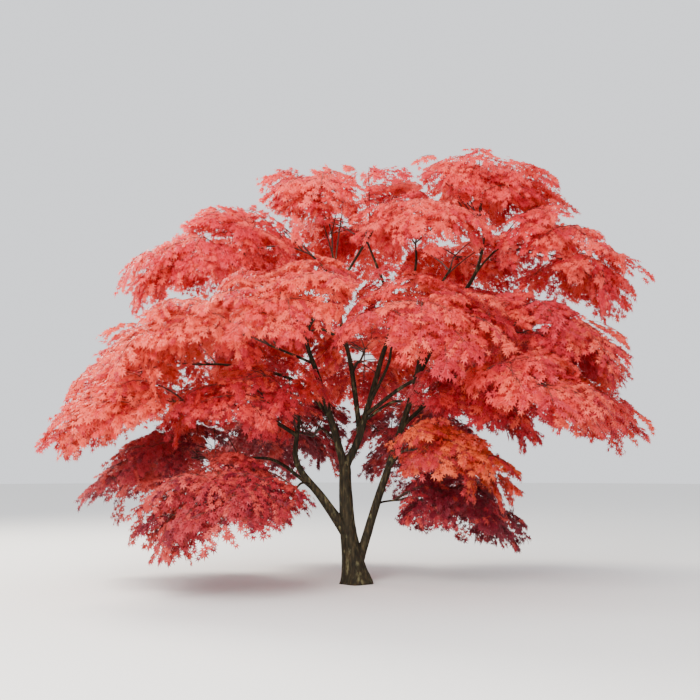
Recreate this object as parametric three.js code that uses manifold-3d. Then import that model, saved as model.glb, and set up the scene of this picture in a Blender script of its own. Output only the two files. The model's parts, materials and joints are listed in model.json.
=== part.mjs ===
// A broad, many-stemmed maple in full autumn red, about 8 m across and 5.9 m tall.
//
// A short trunk stands on the ground with a flared foot. It gives off a slim right-hand stem
// near the ground and a left-leaning stem above it, and forks at head height. Each limb ends
// where it enters a mass of foliage: a domed pad of twigs whose leaf sprays hang out over its
// rim. A blade of the source stands for a whole spray of the real tree's small leaves.
// Millimetres, +Z up, +X to the right seen from the front, origin at the middle of the foot.

import * as THREE from 'three';
import Module from 'manifold-3d';

const wasm = await Module();
wasm.setup();

// Trunk: the points of its middle line, its girth at each, and the flare of its foot.
const TRUNK_LINE = [[0, 0, 0], [-60, 0, 400], [-115, 0, 760], [-145, 0, 1250], [-150, 5, 1650]];
const TRUNK_RADII = [150, 128, 104, 86, 76];
const FOOT_FLARE = 0.52; // how much wider the foot is than the bole
const FOOT_HEIGHT = 210; // height over which the flare dies away
const FOOT_RIBS = 5;
const FOOT_RIB_DEPTH = 0.1;
const TRUNK_SIDES = 14;
const TRUNK_STEPS = 14;
const DOME_SHARE = 0.07; // the last part of the trunk's length, where the fork's top rounds over
const DOME_DROP = 0.75; // how far that part closes in, as a share of its section's area

// Limbs: every one tapers to the same twig thickness where it enters its mass.
const TIP_RADIUS = 13;
const SLENDER_BASE = 12; // base radius of a limb of no length
const GIRTH_PER_MM = 0.0085; // and what each millimetre of its length adds
const TAPER_POWER = 0.85; // under 1: a limb keeps its girth longer than a cone does
const COLLAR = 0.3; // swelling where a limb leaves its parent
const LIMB_SIDES = 7;
const LIMB_STEP = 330; // distance between rings
const FEWEST_STEPS = 4;
const GAP = 0.3; // clear distance between neighbouring pieces

// Masses: shares here are of a mass's half sizes, along its heading, across it and up.
const DOOR_DEPTH = 0.88; // how far out the limb comes in
const STEM_BEND = [-0.15, 0, 0.25]; // the place that the stem leans towards
const STEM_END = [0.58, 0, 0.1];
const STEM_RUNS = 4; // straight stretches that the stem is made of
const STEM_AIM = 0.2; // the limb heads for this share of the stem as it comes in
const SHOOT_REACHES = [0.66, 1.02]; // how far out a twig's tip lies, at the least and most
const FURTHEST = 1.35; // how far out a spray's tip may lie

// Twigs: how many leave the stem, and between which heights of the dome they are spread.
const SHOOTS_PER_AREA = 4.65e-6; // to a square millimetre of a mass's half length by half width
const HIGHEST_SHOOT = 0.92;
const LOWEST_SHOOT = -0.25;
const GOLDEN_TURN = Math.PI * (3 - Math.sqrt(5));
const SHOOT_ROOT = 0.36; // where along the stem a twig to the middle of the dome leaves it
const SHOOT_ROOT_SWING = 0.4; // and how far that moves along for one at the outer end
const SHOOT_ROOT_LIMITS = [0.08, 0.8];
const STEM_GIRTH = [15, 11]; // half widths at the root and at the tip
const SHOOT_GIRTH = [9, 8];
const STEM_PAIRS = [0.5, 0.75]; // shares of the stem that carry a pair of sprays
const SHOOT_PAIRS = [0.4, 0.8]; // and shares of every other twig that do

// Leaf sprays: thin blades, broadest and highest near their middle.
const SPRAY_LENGTH = 700;
const SPRAY_WIDTH = 600;
const SPRAY_THICKNESS = 15;
const SPRAY_LENGTHS = [0.9, 1.1]; // shortest and longest, as shares of that length
const BROADEST = 0.45; // the share of a spray's length where it is broadest
const SPRAY_ARCH = 0.06; // how far it stands up there, as a share of its length
const SPRAY_ROOT = 3; // how far a spray's root goes past its twig's middle line
const SPRAY_SPREAD = THREE.MathUtils.degToRad(65);
const SPRAY_SMALLER = [1, 0.84, 0.7, 0.56]; // sizes tried, until one keeps to its space
const LEVELLING = [0.15, 0.75]; // how far a spray turns from the dome's own face towards level
const DROOP = 0.4;
const LOOK_BACK = 0.08; // the share of a twig just before a spray that gives its direction

// What foliage keeps clear of.
const WOOD_CLEARANCE = 30;
const NEIGHBOUR_CLEARANCE = 0.02; // in half sizes of a mass
const WOOD_STEPS = 40; // places looked at along each limb
const OWN_TIP = 0.9; // the last part of its own limb, from this share on, may be touched

// One row for each limb and the mass of foliage that it carries. from and at say which limb
// it leaves, and how far along. via are the places it passes. centre, half (along the
// heading, across it, and up), heading and slope (degrees, down along the heading) set the
// mass. entry says where the limb comes in: 0 from straight below, 1 from the inner end.
const LIMBS = [
  { limb: 'left_stem', from: 'trunk', at: 0.42, base: 76,
    via: [[-440, -120, 1120], [-800, -290, 1640]],
    mass: 'left_inner', centre: [-1600, -380, 2450], half: [1140, 920, 680],
    heading: 185, slope: 14, entry: 0.75 },
  { limb: 'centre_left_stem', from: 'trunk', at: 0.93, base: 54,
    via: [[-330, -50, 2170], [-520, -200, 2790], [-670, -400, 3250]],
    mass: 'front_left', centre: [-860, -1450, 3600], half: [1140, 1120, 520],
    heading: 250, slope: 16, entry: 0.75 },
  { limb: 'centre_right_stem', from: 'trunk', at: 0.95, base: 56,
    via: [[30, 0, 1930], [150, 0, 2330], [340, 20, 3000], [500, 180, 3750]],
    mass: 'crown_centre', centre: [160, 1200, 5190], half: [1020, 1420, 680],
    heading: 90, slope: 16, entry: 0.6 },
  { limb: 'right_stem', from: 'trunk', at: 0.07, base: 64,
    via: [[270, 80, 1040], [480, 150, 1650], [820, 250, 2680], [1080, 400, 3850]],
    mass: 'upper_right_back', centre: [1560, 1300, 4800], half: [1020, 1120, 620],
    heading: 75, slope: 18, entry: 0.5 },
  { limb: 'inner_rise', from: 'centre_right_stem', at: 0.24, base: 38,
    via: [[-70, 200, 2980], [-210, 300, 3600], [-260, 400, 4310]],
    mass: 'top_left', centre: [-450, 380, 5280], half: [1100, 1120, 740],
    heading: 170, slope: -3, entry: 0.15 },
  { limb: 'top_right_bough', from: 'right_stem', at: 0.62, base: 42,
    via: [[1330, 200, 3700], [1690, 100, 4280]],
    mass: 'top_right', centre: [1740, 150, 5440], half: [1200, 1080, 700],
    heading: 10, slope: 1, entry: -0.1 },
  { limb: 'long_left_bough', from: 'centre_left_stem', at: 0.27, base: 30,
    via: [[-670, 100, 2600], [-1050, 200, 2840], [-1850, 350, 3000]],
    mass: 'left_outer', centre: [-2980, 300, 2900], half: [1020, 1060, 580],
    heading: 178, slope: 34, entry: 0.75 },
  { limb: 'left_shoulder_bough', from: 'centre_left_stem', at: 0.76,
    via: [[-1100, -200, 3730]],
    mass: 'left_shoulder', centre: [-2050, 60, 4545], half: [1260, 1050, 620],
    heading: 182, slope: 27, entry: 0.3 },
  { limb: 'left_middle_bough', from: 'centre_left_stem', at: 0.58,
    via: [[-860, -560, 3050]],
    mass: 'left_middle', centre: [-1900, -1180, 3260], half: [1240, 1040, 640],
    heading: 207, slope: 20, entry: 0.7 },
  { limb: 'left_reach_bough', from: 'left_stem', at: 0.84,
    via: [[-1280, -560, 2260], [-1850, -780, 2400]],
    mass: 'left_outer_low', centre: [-3040, -1020, 2320], half: [860, 860, 440],
    heading: 195, slope: 32, entry: 0.75 },
  { limb: 'left_low_bough', from: 'left_stem', at: 0.47,
    via: [[-720, -450, 1350]],
    mass: 'left_low_front', centre: [-1680, -1000, 1050], half: [1030, 1060, 660],
    heading: 196, slope: 22, entry: 0.97 },
  { limb: 'left_back_bough', from: 'left_stem', at: 0.4,
    via: [[-1170, 180, 1660]],
    mass: 'left_low_back', centre: [-2740, 740, 1600], half: [1080, 1000, 620],
    heading: 170, slope: 22, entry: 0.85 },
  { limb: 'upper_left_bough', from: 'inner_rise', at: 0.7,
    via: [[-520, 400, 4480]],
    mass: 'upper_left', centre: [-1400, 850, 4800], half: [1180, 1020, 700],
    heading: 150, slope: 20, entry: 0.7 },
  { limb: 'top_middle_bough', from: 'inner_rise', at: 0.68,
    via: [[110, 300, 4720]],
    mass: 'top_middle', centre: [520, 340, 5330], half: [1100, 1000, 560],
    heading: 30, slope: 5, entry: 0.3 },
  { limb: 'upper_front_bough', from: 'centre_right_stem', at: 0.7,
    via: [[820, 60, 4260]],
    mass: 'upper_front', centre: [900, -480, 4880], half: [960, 880, 460],
    heading: 275, slope: 18, entry: 0.6 },
  { limb: 'front_right_bough', from: 'centre_right_stem', at: 0.42,
    via: [[440, -330, 2960]],
    mass: 'front_right', centre: [800, -1480, 3380], half: [1220, 1180, 560],
    heading: 292, slope: 20, entry: 0.75 },
  { limb: 'right_inner_bough', from: 'centre_right_stem', at: 0.34,
    via: [[520, -90, 2450]],
    mass: 'right_inner', centre: [1540, -380, 2440], half: [900, 840, 520],
    heading: 345, slope: 22, entry: 0.75 },
  { limb: 'right_shoulder_bough', from: 'top_right_bough', at: 0.66,
    via: [[1860, 60, 4480]],
    mass: 'right_shoulder', centre: [2860, 50, 4440], half: [1060, 1030, 620],
    heading: 2, slope: 32, entry: 0.85 },
  { limb: 'right_outer_bough', from: 'top_right_bough', at: 0.42,
    via: [[1860, 350, 3790]],
    mass: 'right_outer', centre: [2900, 700, 3260], half: [900, 1000, 520],
    heading: 15, slope: 34, entry: 0.92 },
  { limb: 'right_middle_bough', from: 'right_stem', at: 0.55,
    via: [[1300, 0, 3200]],
    mass: 'right_middle', centre: [2480, -520, 3280], half: [1150, 1020, 480],
    heading: 350, slope: 24, entry: 0.75 },
  { limb: 'right_reach_bough', from: 'right_stem', at: 0.5,
    via: [[1200, 260, 2590], [1800, 290, 2790]],
    mass: 'right_outer_low', centre: [3040, 320, 2520], half: [920, 920, 460],
    heading: 5, slope: 32, entry: 0.88 },
  { limb: 'right_front_bough', from: 'centre_right_stem', at: 0.38,
    via: [[820, -500, 2720]],
    mass: 'right_front', centre: [2080, -1640, 2570], half: [980, 900, 360],
    heading: 322, slope: 26, entry: 0.75 },
  { limb: 'right_low_bough', from: 'right_stem', at: 0.36,
    via: [[560, -160, 1690]],
    mass: 'right_low_front', centre: [1240, -620, 1680], half: [800, 760, 460],
    heading: 345, slope: 28, entry: 0.85 },
  { limb: 'right_foot_bough', from: 'right_stem', at: 0.2,
    via: [[380, 210, 1080]],
    mass: 'right_low_back', centre: [1380, 420, 970], half: [920, 800, 520],
    heading: 5, slope: 20, entry: 0.95 },
  { limb: 'back_left_bough', from: 'inner_rise', at: 0.36,
    via: [[-480, 720, 3560]],
    mass: 'back_left', centre: [-1480, 1750, 3560], half: [1220, 1200, 640],
    heading: 128, slope: 26, entry: 0.7 },
  { limb: 'back_right_bough', from: 'right_stem', at: 0.66,
    via: [[1230, 850, 3640]],
    mass: 'back_right', centre: [1750, 1950, 3700], half: [1200, 1150, 560],
    heading: 58, slope: 26, entry: 0.7 },
  { limb: 'back_centre_bough', from: 'inner_rise', at: 0.22,
    via: [[20, 640, 3060], [80, 1130, 3160]],
    mass: 'back_centre', centre: [150, 2380, 3240], half: [1060, 1200, 580],
    heading: 90, slope: 28, entry: 0.85 },
  { limb: 'back_low_left_bough', from: 'centre_left_stem', at: 0.14,
    via: [[-500, 600, 2110]],
    mass: 'back_low_left', centre: [-1180, 1950, 1980], half: [1150, 1080, 680],
    heading: 126, slope: 22, entry: 0.85 },
  { limb: 'back_low_right_bough', from: 'right_stem', at: 0.34,
    via: [[570, 640, 1830]],
    mass: 'back_low_right', centre: [960, 1900, 1880], half: [1150, 1080, 700],
    heading: 56, slope: 22, entry: 0.85 },
];

// Finishes. The leaves redden downwards: sunlit tops are coral and low tiers crimson, and one
// low tier on the right has turned orange.
const BARK = { color: 0x4a4030, roughness: 0.92, metalness: 0 };
const LEAF_ROUGHNESS = 0.7;
const CRIMSON = 0xb3213a;
const SCARLET = 0xcf3240;
const SCARLET_FROM = 2300; // height of a mass's centre
const CORAL = 0xe0584a;
const CORAL_FROM = 4200;
const ORANGE = 0xe8702c;
const ORANGE_MASS = 'right_low_front';

const vec = (p) => new THREE.Vector3(...p);
const UP = vec([0, 0, 1]);

// A draw from 0 to 1 that depends only on its two numbers, so that every run is the same.
function draw(seed, n) {
  const s = Math.sin(seed * 12.9898 + n * 78.233) * 43758.5453;
  return s - Math.floor(s);
}

// The largest body of a solid, as a named mesh.
function meshOf(name, shape, material) {
  const body = shape.decompose().reduce((a, b) => (a.volume() > b.volume() ? a : b));
  const { vertProperties, triVerts } = body.getMesh();
  const geometry = new THREE.BufferGeometry();
  geometry.setAttribute('position', new THREE.BufferAttribute(new Float32Array(vertProperties), 3));
  geometry.setIndex(new THREE.BufferAttribute(new Uint32Array(triVerts), 1));
  geometry.computeVertexNormals();
  const mesh = new THREE.Mesh(geometry, new THREE.MeshStandardMaterial(material));
  mesh.name = name;
  return mesh;
}

// Corner points and triangles as a solid that can be cut and joined.
const solid = (points, faces) => new wasm.Manifold(new wasm.Mesh({
  numProp: 3,
  vertProperties: new Float32Array(points.flatMap((p) => [p.x, p.y, p.z])),
  triVerts: new Uint32Array(faces.flat()),
}));

// A closed skin over rings of a given number of sides. Each station has a place and a
// width out from it, which may be a function of the turn around the ring.
function skin(stations, sides) {
  const points = [];
  let side = null;
  stations.forEach(({ place, wide, level }, i) => {
    const along = stations[Math.min(i + 1, stations.length - 1)].place.clone();
    along.sub(stations[Math.max(i - 1, 0)].place).normalize();
    if (level) along.copy(UP);
    side = side ?? (Math.abs(along.z) > 0.95 ? vec([1, 0, 0]) : along.clone().cross(UP));
    side = side.clone().addScaledVector(along, -side.dot(along)).normalize();
    const across = side.clone().cross(along);
    for (let k = 0; k < sides; k += 1) {
      const turn = Math.PI / 2 - (2 * Math.PI * k) / sides;
      const r = typeof wide === 'function' ? wide(turn) : wide;
      points.push(place.clone()
        .addScaledVector(side, r * Math.cos(turn))
        .addScaledVector(across, r * Math.sin(turn)));
    }
  });
  const last = sides * (stations.length - 1);
  const hubs = [points.push(stations[0].place) - 1, points.push(stations.at(-1).place) - 1];
  const faces = [];
  for (let k = 0; k < sides; k += 1) {
    const next = (k + 1) % sides;
    for (let ring = 0; ring < last; ring += sides) {
      faces.push([ring + k, ring + next, ring + sides + next]);
      faces.push([ring + k, ring + sides + next, ring + sides + k]);
    }
    faces.push([hubs[0], next, k], [hubs[1], last + k, last + next]);
  }
  return solid(points, faces);
}

// A point on the arch from a to c that leans towards b.
function arch(a, b, c, t) {
  const left = a.clone().lerp(b, t);
  return left.lerp(b.clone().lerp(c, t), t);
}

// A path's points on the straight runs between its stations.
const runs = (path, steps) => (t) => {
  const i = Math.min(steps - 1, Math.floor(t * steps));
  return path(i / steps).lerp(path((i + 1) / steps), t * steps - i);
};

// The space of one mass: a tilted dome with its own three directions.
class Space {
  constructor(row) {
    const heading = THREE.MathUtils.degToRad(row.heading);
    const slope = THREE.MathUtils.degToRad(row.slope);
    const [ch, sh] = [Math.cos(heading), Math.sin(heading)];
    const [cs, ss] = [Math.cos(slope), Math.sin(slope)];
    this.ways = [vec([ch * cs, sh * cs, -ss]), vec([-sh, ch, 0]), vec([ss * ch, ss * sh, cs])];
    this.centre = vec(row.centre);
    this.half = row.half;
    const below = Math.sqrt(1 - row.entry ** 2);
    this.door = this.point([-DOOR_DEPTH * row.entry, 0, -DOOR_DEPTH * below]);
  }

  // The place at given shares of the half sizes.
  point(shares) {
    const place = this.centre.clone();
    this.ways.forEach((way, k) => place.addScaledVector(way, shares[k] * this.half[k]));
    return place;
  }

  // The shares at which a place lies.
  shares(place) {
    const d = place.clone().sub(this.centre);
    return this.ways.map((way, k) => d.dot(way) / this.half[k]);
  }

  // How far out a place lies: 0 at the middle, 1 on the rim.
  reach(place) {
    return Math.hypot(...this.shares(place));
  }

  // The way that a spray at a place faces: out through the dome, turned partly up.
  facing(place, levelling) {
    const outward = vec([0, 0, 0]);
    this.shares(place).forEach((share, k) => outward.addScaledVector(this.ways[k], share));
    return outward.normalize().lerp(UP, levelling).normalize();
  }

  // The stem that carries the limb on into the mass.
  stem(t) {
    return arch(this.door, this.point(STEM_BEND), this.point(STEM_END), t);
  }
}

const spaces = new Map(LIMBS.map((row) => [row.mass, new Space(row)]));

// Stations along a path, each as wide as size(share of the path) says. Both ends of the
// path are drawn out by a clearance, but a foot on the ground stays there.
function stations(path, size, steps, clear = 0) {
  const made = Array.from({ length: steps + 1 }, (_, i) => (
    { place: path(i / steps), wide: size(i / steps), level: i === 0 && path(0).z === 0 }));
  const drawOut = (end, before) => {
    end.place.addScaledVector(end.place.clone().sub(before.place).normalize(), clear);
  };
  drawOut(made.at(-1), made.at(-2));
  if (!made[0].level) drawOut(made[0], made[1]);
  return made;
}

// The trunk: its path, and its radius at a share of the path and a turn around it.
const trunkPath = new THREE.CatmullRomCurve3(TRUNK_LINE.map(vec), false, 'catmullrom', 0.5);

function trunkRadius(t, turn = 0) {
  const rows = TRUNK_RADII.length - 1;
  const i = Math.min(rows - 1, Math.floor(t * rows));
  const bole = THREE.MathUtils.lerp(TRUNK_RADII[i], TRUNK_RADII[i + 1], t * rows - i);
  const fade = Math.exp(-trunkPath.getPoint(t).z / FOOT_HEIGHT);
  const ribs = 1 + FOOT_RIB_DEPTH * fade * Math.cos(FOOT_RIBS * turn);
  const over = Math.max(0, t - (1 - DOME_SHARE)) / DOME_SHARE;
  return bole * (1 + FOOT_FLARE * fade) * ribs * Math.sqrt(1 - DOME_DROP * over * over);
}

function trunkShape(clear) {
  const size = (t) => (turn) => trunkRadius(t, turn) + clear;
  return skin(stations((t) => trunkPath.getPoint(t), size, TRUNK_STEPS, clear), TRUNK_SIDES);
}

// Every limb by its name, with its path, its radius along it, and its solid at a clearance.
const limbs = new Map();
limbs.set('trunk', { at: (t) => trunkPath.getPoint(t), radius: trunkRadius, shape: trunkShape });

function growLimb(row) {
  const space = spaces.get(row.mass);
  const root = limbs.get(row.from).at(row.at);
  const points = [root, ...row.via.map(vec), space.door, space.stem(STEM_AIM)];
  const curve = new THREE.CatmullRomCurve3(points, false, 'catmullrom', 0.5);
  const used = (points.length - 2) / (points.length - 1);
  const at = (t) => curve.getPoint(t * used);
  const marks = Array.from({ length: 21 }, (_, i) => at(i / 20));
  const length = marks.slice(1).reduce((sum, mark, i) => sum + mark.distanceTo(marks[i]), 0);
  const base = row.base ?? SLENDER_BASE + GIRTH_PER_MM * length;
  const radius = (t) => {
    const taper = TIP_RADIUS + (base - TIP_RADIUS) * (1 - t) ** TAPER_POWER;
    return taper * (1 + COLLAR * Math.exp((-t * length) / (2 * base)));
  };
  const steps = Math.max(FEWEST_STEPS, Math.round(length / LIMB_STEP));
  const shape = (clear) => skin(stations(at, (t) => radius(t) + clear, steps, clear), LIMB_SIDES);
  return { at, radius, shape };
}

for (const row of LIMBS) limbs.set(row.limb, growLimb(row));

// Places along every limb with its radius there, to keep foliage clear of the wood.
const wood = [...limbs].flatMap(([name, limb]) => (
  Array.from({ length: WOOD_STEPS + 1 }, (_, i) => i / WOOD_STEPS).map((share) => (
    { name, share, place: limb.at(share), radius: limb.radius(share) }))));

const touchesWood = (place, own) => wood.some((w) => (
  w.place.distanceTo(place) < w.radius + WOOD_CLEARANCE && !(w.name === own && w.share > OWN_TIP)));

// Whether places keep to a mass's own space, clear of its neighbours' spaces and of the wood.
function keepsTo(row, places) {
  const own = spaces.get(row.mass);
  const neighbours = LIMBS.filter((other) => other !== row).map((other) => spaces.get(other.mass));
  return places.every((place) => {
    const reach = own.reach(place);
    return reach <= FURTHEST && !touchesWood(place, row.limb)
      && neighbours.every((space) => space.reach(place) > reach + NEIGHBOUR_CLEARANCE);
  });
}

// A leaf spray that leaves its twig at root: a thin blade of three upper and three lower
// faces, broadest and highest near its middle. It is as large as keeps to the mass's space
// without crossing the pieces it is to miss, and is left out where no size does.
function spray(row, root, along, facing, seed, missed) {
  const across = along.clone().cross(facing).normalize();
  const lift = across.clone().cross(along);
  for (const smaller of SPRAY_SMALLER) {
    const share = smaller * THREE.MathUtils.lerp(...SPRAY_LENGTHS, draw(seed, 3));
    const length = SPRAY_LENGTH * share;
    const heel = root.clone().addScaledVector(along, -SPRAY_ROOT);
    const tip = root.clone().addScaledVector(along, length);
    const ridge = root.clone().addScaledVector(along, length * BROADEST);
    ridge.addScaledVector(lift, length * SPRAY_ARCH);
    const [right, left] = [0.5, -0.5].map((half) => ridge.clone()
      .addScaledVector(across, half * SPRAY_WIDTH * share).addScaledVector(lift, -SPRAY_THICKNESS));
    const edges = [left.clone().lerp(tip, 0.5), right.clone().lerp(tip, 0.5)];
    if (keepsTo(row, [tip, ridge, left, right, ...edges])) {
      const above = [[0, 4, 2], [0, 2, 3], [1, 2, 4], [1, 3, 2]];
      const below = [[0, 3, 4], [1, 4, 3]];
      const blade = solid([heel, tip, ridge, left, right], [...above, ...below]);
      if (missed.every((piece) => blade.intersect(piece).isEmpty())) return [blade];
    }
  }
  return [];
}

// A twig along a path, with a spray at its end and a pair of them at each given share. The
// sprays lie along the mass's dome like tiles and droop over its rim.
function twig(row, seed, path, girth, steps, pairs, missed) {
  const bark = skin(stations(path, (t) => THREE.MathUtils.lerp(...girth, t), steps), 3);
  const groups = [[[1, 0]], ...pairs.map((t) => [[t, SPRAY_SPREAD], [t, -SPRAY_SPREAD]])];
  const sprays = [];
  groups.forEach((group, g) => {
    const before = [...missed, ...sprays];
    group.forEach(([t, turn], n) => {
      const levelling = THREE.MathUtils.lerp(...LEVELLING, draw(seed, 2 * g + n));
      const facing = spaces.get(row.mass).facing(path(t), levelling);
      const along = path(t).sub(path(t - LOOK_BACK)).normalize().addScaledVector(UP, -DROOP);
      along.addScaledVector(facing, -along.dot(facing)).normalize().applyAxisAngle(facing, turn);
      sprays.push(...spray(row, path(t), along, facing, seed + 2 * g + n, before));
    });
  });
  return [bark, ...sprays];
}

// A mass of foliage: its stem, and twigs that leave it towards places spread evenly over
// its dome by the golden angle, all with their sprays, fused.
function growMass(row, index) {
  const space = spaces.get(row.mass);
  const seed = (index + 1) * 100;
  const start = (0.01 * GAP) / space.stem(0).distanceTo(space.stem(0.01));
  const stem = runs((t) => space.stem(start + t * (1 - start)), STEM_RUNS);
  const [stemWood, ...leaves] = twig(row, seed, stem, STEM_GIRTH, STEM_RUNS, STEM_PAIRS, []);
  const pieces = [];
  const shoots = Math.round(SHOOTS_PER_AREA * row.half[0] * row.half[1]);
  for (let i = 0; i < shoots; i += 1) {
    const height = THREE.MathUtils.lerp(HIGHEST_SHOOT, LOWEST_SHOOT, (i + 0.5) / shoots);
    const ring = Math.sqrt(1 - height * height);
    const turn = i * GOLDEN_TURN + seed * 2.4;
    const way = [ring * Math.cos(turn), ring * Math.sin(turn), height];
    const share = THREE.MathUtils.clamp(SHOOT_ROOT + SHOOT_ROOT_SWING * way[0], ...SHOOT_ROOT_LIMITS);
    const from = stem(share);
    const reach = THREE.MathUtils.lerp(...SHOOT_REACHES, draw(seed + 10 * (i + 1), 5));
    const to = space.point(way.map((part) => reach * part));
    const shoot = (t) => from.clone().lerp(to, t);
    if (!keepsTo(row, [0.5, 0.75, 1].map(shoot))) continue;
    const missed = [stemWood, ...leaves, ...pieces];
    const grown = twig(row, seed + 10 * (i + 1), shoot, SHOOT_GIRTH, 1, SHOOT_PAIRS, missed);
    const bare = grown.length === 1;
    const crosses = leaves.some((leaf) => !leaf.intersect(grown[0]).isEmpty());
    if (!bare && !crosses) pieces.push(...grown);
  }
  return wasm.Manifold.union([stemWood, ...leaves, ...pieces]);
}

// A shape less every one of a list of others that it touches, so that each keeps its gap.
const clearOf = (shape, others) => others.reduce((rest, other) => (
  rest.intersect(other).isEmpty() ? rest : rest.subtract(other)), shape);

// The colour of a mass by the height of its centre.
function leafColour(row) {
  if (row.mass === ORANGE_MASS) return ORANGE;
  const height = row.centre[2];
  if (height > CORAL_FROM) return CORAL;
  return height > SCARLET_FROM ? SCARLET : CRIMSON;
}

const tree = new THREE.Group();
const cutters = [];
for (const [name, limb] of limbs) {
  tree.add(meshOf(name, clearOf(limb.shape(0), cutters), BARK));
  cutters.push(limb.shape(GAP));
}
LIMBS.forEach((row, index) => {
  const leaf = { color: leafColour(row), roughness: LEAF_ROUGHNESS, metalness: 0 };
  tree.add(meshOf(`foliage_${row.mass}`, clearOf(growMass(row, index), cutters), leaf));
});

export default tree;
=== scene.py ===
# %% [markdown]
# # A red maple, grown limb by limb
# This notebook dresses a finished set of solids: a short trunk, the limbs that leave it, and
# one domed mass of foliage at the end of every limb. The solids fix where everything is. Here
# the same growing rule is written again and carried on to fine twigs and single leaves.
#
# The order is: load the solids, set camera and light, write the rule, make the bark, grow
# the twigs, and hang the leaves on them.

# %% Load the solids that everything is built around
import collections
import functools
import json

import bpy
import numpy as np
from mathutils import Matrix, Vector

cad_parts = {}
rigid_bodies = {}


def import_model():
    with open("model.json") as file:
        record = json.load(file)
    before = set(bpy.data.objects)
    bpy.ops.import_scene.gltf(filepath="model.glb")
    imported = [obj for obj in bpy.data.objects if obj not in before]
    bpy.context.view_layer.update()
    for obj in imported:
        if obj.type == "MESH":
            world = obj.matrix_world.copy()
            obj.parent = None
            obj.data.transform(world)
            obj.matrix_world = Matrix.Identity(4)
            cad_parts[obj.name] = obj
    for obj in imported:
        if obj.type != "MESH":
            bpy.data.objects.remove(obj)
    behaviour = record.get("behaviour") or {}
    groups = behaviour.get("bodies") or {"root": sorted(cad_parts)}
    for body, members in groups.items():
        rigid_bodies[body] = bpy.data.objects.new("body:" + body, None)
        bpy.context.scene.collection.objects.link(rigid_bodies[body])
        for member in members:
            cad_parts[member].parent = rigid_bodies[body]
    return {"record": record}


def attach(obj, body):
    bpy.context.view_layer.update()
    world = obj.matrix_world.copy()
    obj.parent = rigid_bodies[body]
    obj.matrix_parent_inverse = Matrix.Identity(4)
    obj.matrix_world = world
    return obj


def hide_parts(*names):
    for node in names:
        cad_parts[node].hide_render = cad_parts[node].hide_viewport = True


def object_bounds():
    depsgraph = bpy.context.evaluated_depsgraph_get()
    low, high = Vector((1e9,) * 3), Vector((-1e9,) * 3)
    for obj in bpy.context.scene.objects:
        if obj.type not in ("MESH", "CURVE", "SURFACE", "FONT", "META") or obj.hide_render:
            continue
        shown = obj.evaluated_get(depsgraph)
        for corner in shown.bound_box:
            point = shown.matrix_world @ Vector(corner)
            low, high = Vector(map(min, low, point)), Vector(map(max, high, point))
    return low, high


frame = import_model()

cad_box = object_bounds()
LOWEST, HIGHEST = np.array(cad_box[0]), np.array(cad_box[1])
print("box of the solids, metres:", LOWEST.round(2), HIGHEST.round(2))

# %% [markdown]
# The photo was taken from about thirteen metres away, at eye height, with the camera tilted
# up a little so that the whole crown fits. A longer lens from further off would flatten the
# tiers of the crown, so the photo's own distance is kept.

# %% Camera at the photograph's angle
CAMERA_PLACE = (-0.083, -13.0, 1.6)
CAMERA_TILT_DEG = 6.9
FOCAL_PIXELS = 942.0
FRAME_PIXELS = 700.0
SENSOR_MM = 36.0
SEEN_TO = 300.0

camera = bpy.data.objects.new("camera", bpy.data.cameras.new("camera"))
bpy.context.scene.collection.objects.link(camera)
camera.location = CAMERA_PLACE
camera.rotation_euler = (np.radians(90 + CAMERA_TILT_DEG), 0, 0)
camera.data.sensor_width = SENSOR_MM
camera.data.lens = camera.data.sensor_width * FOCAL_PIXELS / FRAME_PIXELS
camera.data.clip_end = SEEN_TO
bpy.context.scene.camera = camera
print("lens, mm:", round(camera.data.lens, 1))

# %% [markdown]
# Light for a tree is mostly sky: a bright, even world. One broad warm panel high on the left
# and behind shines through the leaves as a low sun does and draws a pale edge on the stems.
# A larger, softer one in front keeps the near side readable.

# %% World, panels and floor
WORLD_COLOUR = (0.94, 0.96, 1.0)
WORLD_STRENGTH = 1.33
PANELS = {
    # name: (place, size in metres, power in watts, colour)
    "sun_panel": ((-10.0, 6.0, 11.0), 5.0, 3900.0, (1.0, 0.93, 0.82)),
    "front_panel": ((-5.0, -13.0, 9.0), 9.0, 4200.0, (1.0, 0.97, 0.93)),
}
AIM_HEIGHT = 3.0
FLOOR_RADIUS = 70.0
FLOOR_SIDES = 96
FLOOR_COLOUR = (0.80, 0.79, 0.77)
FLOOR_ROUGHNESS = 0.9


def principled(name):
    """A new node material and its Principled shader."""
    material = bpy.data.materials.new(name)
    material.use_nodes = True
    return material, material.node_tree.nodes["Principled BSDF"]


world = bpy.data.worlds.new("studio")
world.use_nodes = True
world.node_tree.nodes["Background"].inputs["Color"].default_value = (*WORLD_COLOUR, 1.0)
world.node_tree.nodes["Background"].inputs["Strength"].default_value = WORLD_STRENGTH
bpy.context.scene.world = world

aim = bpy.data.objects.new("crown_middle", None)
bpy.context.scene.collection.objects.link(aim)
aim.location = (0.0, 0.0, AIM_HEIGHT)
for name, (place, size, power, colour) in PANELS.items():
    light = bpy.data.lights.new(name, "AREA")
    light.size = size
    light.energy = power
    light.color = colour
    panel = bpy.data.objects.new(name, light)
    bpy.context.scene.collection.objects.link(panel)
    panel.location = place
    track = (aim.location - panel.location).to_track_quat("-Z", "Y")
    panel.rotation_euler = track.to_euler()

bpy.ops.mesh.primitive_circle_add(
    vertices=FLOOR_SIDES, radius=FLOOR_RADIUS, fill_type="NGON")
floor = bpy.context.object
floor.name = "floor"
floor_material, shader = principled("floor")
shader.inputs["Base Color"].default_value = (*FLOOR_COLOUR, 1.0)
shader.inputs["Roughness"].default_value = FLOOR_ROUGHNESS
floor.data.materials.append(floor_material)
print("light panels:", len(PANELS))

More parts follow.
